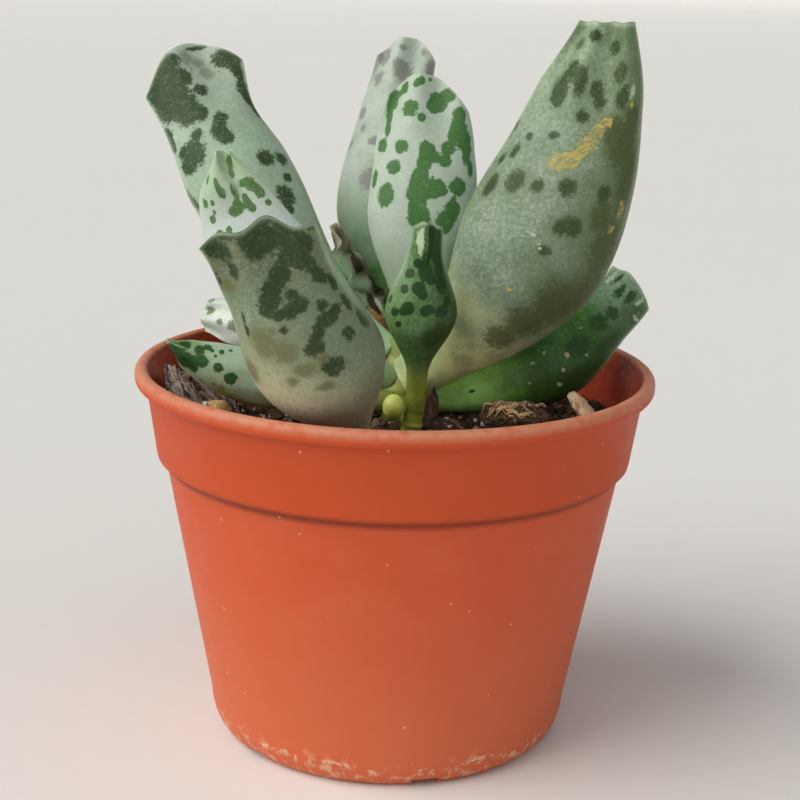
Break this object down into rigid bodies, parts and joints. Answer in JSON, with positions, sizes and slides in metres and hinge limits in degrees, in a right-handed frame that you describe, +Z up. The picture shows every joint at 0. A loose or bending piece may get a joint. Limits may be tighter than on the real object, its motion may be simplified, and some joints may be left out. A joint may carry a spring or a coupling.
{
  "type": "potted adromischus",
  "caption": "Small succulent with fat spotted leaves on a short stem, in soil in a round tapered plastic nursery pot with a beaded lip.",
  "frame": {"origin": "middle of the pot's underside, on the flat boss it rests on", "axes": "+Z up, -Y towards the front of the plant, +X to the right seen from the front"},
  "size_m": [0.0851, 0.0884, 0.1176],
  "materials": {
    "pot_plastic": "satin moulded terracotta-coloured plastic",
    "soil": "loose dark potting soil with bark crumbs",
    "stem": "smooth yellow-green stem skin",
    "leaf": "grey-green waxy bloom with dark green blotches",
    "young_leaf": "fresh green, slightly glossy, with darker spots",
    "dry_leaf": "shrivelled and dull",
    "bark": "rough broken bark and wood",
    "pebble": "dull yellow stone"
  },
  "bodies": {
    "root": {"pot": "pot_plastic", "soil": "soil", "stem": "stem", "side_shoot": "stem", "leaf_back_left": "leaf", "leaf_left_mid": "leaf", "leaf_front_left": "leaf", "leaf_low_left": "leaf", "leaf_far_left": "leaf", "leaf_back_mid": "leaf", "leaf_centre": "leaf", "leaf_right_big": "leaf", "leaf_low_right": "leaf", "leaf_front_small": "young_leaf", "bud_front": "young_leaf", "leaf_withered": "dry_leaf", "dried_sheath": "dry_leaf", "wood_chip": "bark", "bark_chip": "bark", "bark_clump": "bark", "pebble": "pebble"}
  },
  "joints": []
}
